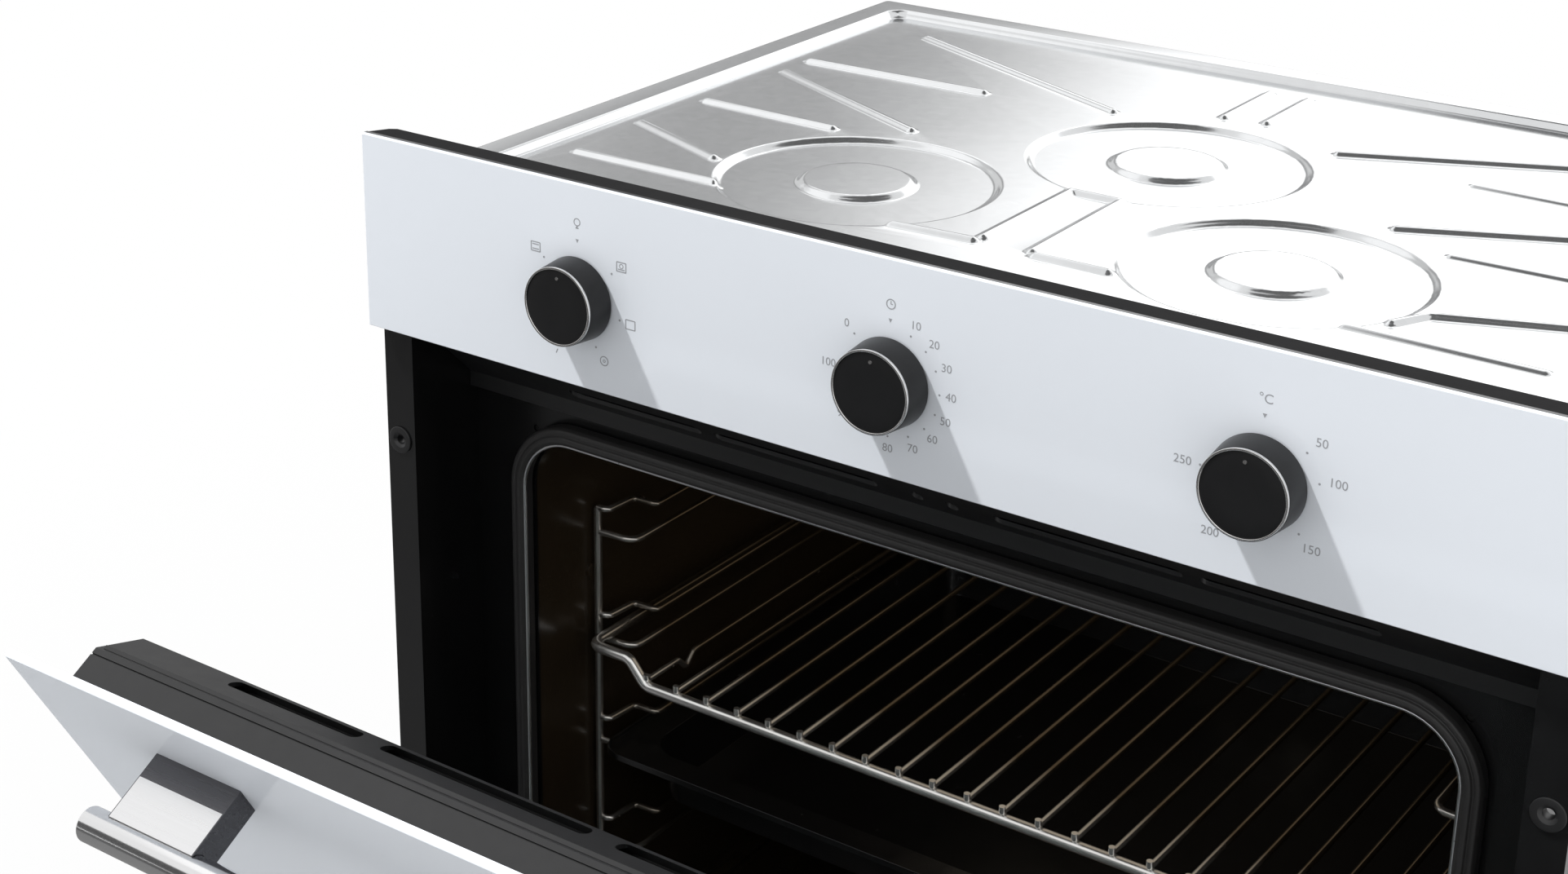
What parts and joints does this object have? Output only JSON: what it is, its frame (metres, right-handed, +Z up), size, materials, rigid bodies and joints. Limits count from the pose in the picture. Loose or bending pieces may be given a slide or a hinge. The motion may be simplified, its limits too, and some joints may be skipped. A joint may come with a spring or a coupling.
{
  "type": "built-in oven",
  "caption": "Built-in electric oven with a drop-down glass door, front controls, wire shelf, baking tray, side racks and a fan behind the cavity.",
  "frame": {"origin": "on the underside of the base sheet, midway between the sides and midway between the panel's face and the back cover's face", "axes": "+X to the right as seen from the front, +Y to the back, +Z up; the front faces -Y"},
  "size_m": [0.595, 0.7991, 0.595],
  "materials": {
    "white_glass": "gloss, white behind the glass",
    "clear_glass": "clear",
    "black_enamel": "gloss enamel",
    "dark_enamel": "gloss enamel",
    "galvanised": "bright zinc coating",
    "black_plastic": "satin",
    "knob_plastic": "satin gloss",
    "chrome": "polished",
    "handle_metal": "satin",
    "steel": "plain",
    "seal_rubber": "matt",
    "wool": "mineral wool",
    "motor_iron": "laminated steel and coil",
    "fan_aluminium": "plain",
    "element_steel": "heat-darkened",
    "ceramic": "glazed",
    "brass": "plain",
    "switch_plastic": "matt"
  },
  "bodies": {
    "housing": {"front_frame": "black_enamel", "flange_bushes": "black_plastic", "cavity": "dark_enamel", "insulation": "wool", "side_panels": "galvanised", "base_plate": "galvanised", "rear_panel": "galvanised", "back_cover": "galvanised", "cover_screws": "steel", "top_cover": "galvanised", "intermediate_plate": "galvanised", "control_bracket": "galvanised", "control_panel_glass": "white_glass", "panel_carrier": "black_plastic", "function_switch": "switch_plastic", "timer_unit": "steel", "thermostat_unit": "switch_plastic", "thermostat_probe": "brass", "air_outlet_strip": "black_plastic", "air_duct": "galvanised", "cooling_fan_housing": "galvanised", "cooling_fan_motor": "motor_iron", "fan_cover": "dark_enamel", "convection_motor": "motor_iron", "top_element": "element_steel", "bottom_element": "element_steel", "lamp_socket": "ceramic", "lamp_bulb": "clear_glass", "lamp_glass": "clear_glass", "terminal_block": "black_plastic", "cavity_seal": "seal_rubber", "hinge_receivers": "steel", "hinge_arms": "steel", "rack_right": "chrome", "rack_left": "chrome"},
    "door": {"door_glass_outer": "white_glass", "door_top_rail": "black_plastic", "door_columns": "black_plastic", "door_bottom_rail": "black_plastic", "door_glass_middle": "clear_glass", "door_glass_inner": "clear_glass", "handle_bar": "handle_metal", "handle_arms": "handle_metal", "handle_screws": "steel", "hinge_channels": "steel", "hinge_pins": "steel", "hinge_springs": "steel"},
    "knob_function": {"function_knob": "knob_plastic", "function_knob_trim": "chrome", "function_shaft": "steel"},
    "knob_timer": {"timer_knob": "knob_plastic", "timer_knob_trim": "chrome", "timer_shaft": "steel"},
    "knob_thermostat": {"thermostat_knob": "knob_plastic", "thermostat_knob_trim": "chrome", "thermostat_shaft": "steel"},
    "shelf": {"wire_shelf": "chrome"},
    "tray": {"baking_tray": "dark_enamel"},
    "cooling_rotor": {"cooling_fan_impeller": "fan_aluminium"},
    "convection_rotor": {"convection_impeller": "fan_aluminium"}
  },
  "joints": [
    {"name": "door_hinge", "type": "hinge", "parent": "housing", "child": "door", "pos_m": [0, -0.246, 0.02], "axis": [1, 0, 0], "range_deg": [-30, 60]},
    {"name": "function_knob_turn", "type": "hinge", "parent": "housing", "child": "knob_function", "pos_m": [-0.1661, -0.2815, 0.5407], "axis": [0, 1, 0], "continuous": true},
    {"name": "timer_knob_turn", "type": "hinge", "parent": "housing", "child": "knob_timer", "pos_m": [0, -0.2815, 0.5407], "axis": [0, 1, 0], "range_deg": [0, 290]},
    {"name": "thermostat_knob_turn", "type": "hinge", "parent": "housing", "child": "knob_thermostat", "pos_m": [0.1661, -0.2815, 0.5407], "axis": [0, 1, 0], "range_deg": [0, 290]},
    {"name": "shelf_slide", "type": "slide", "parent": "housing", "child": "shelf", "axis": [0, -1, 0], "range_m": [0, 0.17]},
    {"name": "tray_slide", "type": "slide", "parent": "housing", "child": "tray", "axis": [0, -1, 0], "range_m": [0, 0.14]},
    {"name": "cooling_fan_spin", "type": "hinge", "parent": "housing", "child": "cooling_rotor", "pos_m": [0, 0.0565, 0.506], "axis": [1, 0, 0], "continuous": true},
    {"name": "convection_fan_spin", "type": "hinge", "parent": "housing", "child": "convection_rotor", "pos_m": [0, 0.1765, 0.25925], "axis": [0, 1, 0], "continuous": true}
  ]
}
